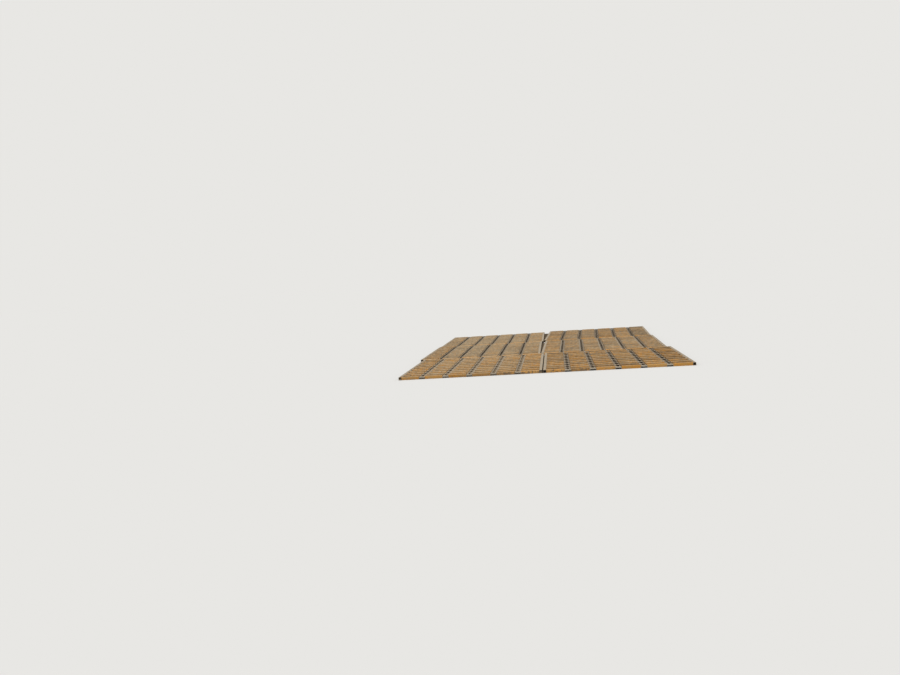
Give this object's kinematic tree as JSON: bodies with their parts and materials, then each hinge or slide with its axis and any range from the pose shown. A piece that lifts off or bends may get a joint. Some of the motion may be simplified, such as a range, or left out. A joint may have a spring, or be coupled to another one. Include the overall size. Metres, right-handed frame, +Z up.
{
  "type": "portable cattle grid",
  "caption": "Portable cattle grid laid flat across a gravel road: galvanised frames with slotted bearers and short yellow ribs between them, in welded modules.",
  "frame": {"origin": "middle of the whole grid, at the level of the road it lies on", "axes": "+Y along the road away from the near row, +X to the right, +Z up"},
  "size_m": [6.3134, 9.41, 0.062],
  "materials": {
    "yellow_ribs": "yellow paint, dusty and worn",
    "galvanised_frame": "dull galvanised steel with road dust"
  },
  "bodies": {
    "root": {"near_left_frame": "galvanised_frame", "near_left_ribs_1": "yellow_ribs", "near_left_ribs_2": "yellow_ribs", "near_left_ribs_3": "yellow_ribs", "near_left_ribs_4": "yellow_ribs", "near_left_ribs_5": "yellow_ribs", "near_left_ribs_6": "yellow_ribs", "near_right_frame": "galvanised_frame", "near_right_ribs_1": "yellow_ribs", "near_right_ribs_2": "yellow_ribs", "near_right_ribs_3": "yellow_ribs", "near_right_ribs_4": "yellow_ribs", "near_right_ribs_5": "yellow_ribs", "near_right_ribs_6": "yellow_ribs", "middle_left_frame": "galvanised_frame", "middle_left_ribs_1": "yellow_ribs", "middle_left_ribs_2": "yellow_ribs", "middle_left_ribs_3": "yellow_ribs", "middle_left_ribs_4": "yellow_ribs", "middle_left_ribs_5": "yellow_ribs", "middle_left_ribs_6": "yellow_ribs", "middle_right_frame": "galvanised_frame", "middle_right_ribs_1": "yellow_ribs", "middle_right_ribs_2": "yellow_ribs", "middle_right_ribs_3": "yellow_ribs", "middle_right_ribs_4": "yellow_ribs", "middle_right_ribs_5": "yellow_ribs", "middle_right_ribs_6": "yellow_ribs", "far_left_frame": "galvanised_frame", "far_left_ribs_1": "yellow_ribs", "far_left_ribs_2": "yellow_ribs", "far_left_ribs_3": "yellow_ribs", "far_left_ribs_4": "yellow_ribs", "far_left_ribs_5": "yellow_ribs", "far_left_ribs_6": "yellow_ribs", "far_right_frame": "galvanised_frame", "far_right_ribs_1": "yellow_ribs", "far_right_ribs_2": "yellow_ribs", "far_right_ribs_3": "yellow_ribs", "far_right_ribs_4": "yellow_ribs", "far_right_ribs_5": "yellow_ribs", "far_right_ribs_6": "yellow_ribs"}
  },
  "joints": []
}
